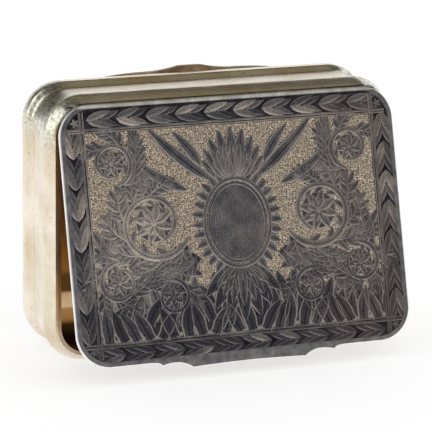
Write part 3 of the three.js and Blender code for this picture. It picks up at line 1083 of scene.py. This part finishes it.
# Each rosette: x, y, radius, petals and tone
ROSETTES = (
    (20.8, 1.8, 4.4, 8, 0.5),
    (30.0, 16.4, 3.0, 7, 0.45),
    (30.4, -11.4, 3.0, 7, 0.4),
    (17.5, -15.8, 2.6, 6, 0.35),
)
finish_ornament(make_front_panel(), "front_panel", chased, SIDES["front"])

# %% Rear panel
def make_rear_panel():
    bm = new_ornament()
    middle = (PANEL_TOP + PANEL_BOTTOM) / 2
    for side in (1, -1):
        for up in (1, -1):
            for x, y, radius, end_radius, heading, sweep, width, tone in SCROLLS[:2]:
                turn = up * turned(heading, side)
                place = (side * x, up * (y + 2) + middle)
                scroll(bm, *place, radius - 1, end_radius, turn, side * up * sweep, width, tone)
                rosette(bm, *place, end_radius * 0.9, 7, tone)
    fan(bm, 0, 7.5, 90, (11, 9.5, 8, 6.4), 22, 2.6, 0.42)
    fan(bm, 0, -8.5, -90, (11, 9.5, 8, 6.4), 22, 2.6, 0.42)
    cartouche(bm, -0.5, 6.4, 8.2)
    return bm


finish_ornament(make_rear_panel(), "rear_panel", chased, SIDES["rear"])
bpy.data.meshes.remove(scratch)

# %% [markdown]
# ## Hidden fittings
# The pins are hard-drawn silver wire and the channels are the bearers that each tube is soldered
# into. Their CAD meshes are right as they are, so they only get the tube's metal.

# %% Hidden fittings
for side in SIDES:
    for name in ("hinge_pin", "hinge_channel"):
        node = bpy.data.objects[f"{side}_{name}"]
        node.data.materials.clear()
        node.data.materials.append(tube_silver)
print("pins and channels finished")

# %% [markdown]
# ## Floor and studio
# The box stands on white paper that is lit from below as well, like a light table, so the floor is
# almost white and keeps only a soft shadow. Polished metal shows its surroundings more than itself:
# the paper sweeps up behind the box, the room above is dark, and a tall window stands behind on the
# left. Area lamps could give the window. A world drawn from a few directions is smoother, and only
# reflections see it, so the background stays white.

# %% Floor
def make_floor():
    bm = bmesh.new()
    bmesh.ops.create_grid(bm, x_segments=1, y_segments=1, size=3)
    mesh = bpy.data.meshes.new("floor")
    bm.to_mesh(mesh)
    bm.free()
    material, tree, shader = new_material("floor_paper", Roughness=0.9)
    # The world lights the paper to 0.3, and its own glow adds 0.71, which makes white
    shader.inputs["Base Color"].default_value = (0.3, 0.3, 0.3, 1)
    shader.inputs["Emission Color"].default_value = (1, 1, 1, 1)
    shader.inputs["Emission Strength"].default_value = 0.71
    mesh.materials.append(material)
    floor = bpy.data.objects.new("floor", mesh)
    scene.collection.objects.link(floor)


make_floor()
print("floor laid")

# %% Studio
world = bpy.data.worlds.new("studio")
scene.world = world
world.use_nodes = True
sky = world.node_tree
ray = add_node(sky, "TexCoord").outputs["Generated"]
parts = add_node(sky, "SeparateXYZ", {0: ray})
# White paper sweeps up behind the box, higher on the right, and the room above it is dark
slope = add_node(sky, "VectorMath", {0: ray, 1: (-0.6, 0, 1)}, operation="DOT_PRODUCT")
stops = ((0.2, "#ffffff"), (1.0, "#4a4949"), (0.25, "#3f3c3c"))
stops += ((0.51, "#464341"), (0.57, "#817a61"), (0.76, "#7b755f"))
room = add_node(sky, "ValToRGB", {"Fac": slope}, stops)
# A tall window behind on the left lights the rounded corners
aim = Vector((-0.83, 0.51, 0.19)).normalized()
tall = add_node(sky, "VectorMath", {0: ray, 1: (1, 1, 0.5)}, operation="MULTIPLY")
tall = add_node(sky, "VectorMath", {0: tall}, operation="NORMALIZE")
near = add_node(sky, "VectorMath", {0: tall, 1: aim}, operation="DOT_PRODUCT")
# Over the room lie a paler front, a glow round the window, and the window itself
light = room
for value, start, end, most, tint in (
    (parts.outputs["Y"], 0.1, -0.3, 1, "#b8b8b8"),
    (near, 0.75, 0.97, 0.45, "#e9eee4"),
    (near, 0.905, 0.965, 1, (1.6, 1.63, 1.52, 1)),
):
    span = {"Value": value, "From Min": start, "From Max": end, "To Max": most}
    amount = add_node(sky, "MapRange", span)
    light = add_node(sky, "Mix", {0: amount, 6: light, 7: tint}, data_type="RGBA")
paths = add_node(sky, "LightPath")
both = {0: paths.outputs["Is Glossy Ray"], 6: "#ffffff", 7: light}
seen = add_node(sky, "Mix", both, data_type="RGBA")
sky.links.new(seen.outputs[2], sky.nodes["Background"].inputs["Color"])
print("studio made of", len(sky.nodes), "nodes")
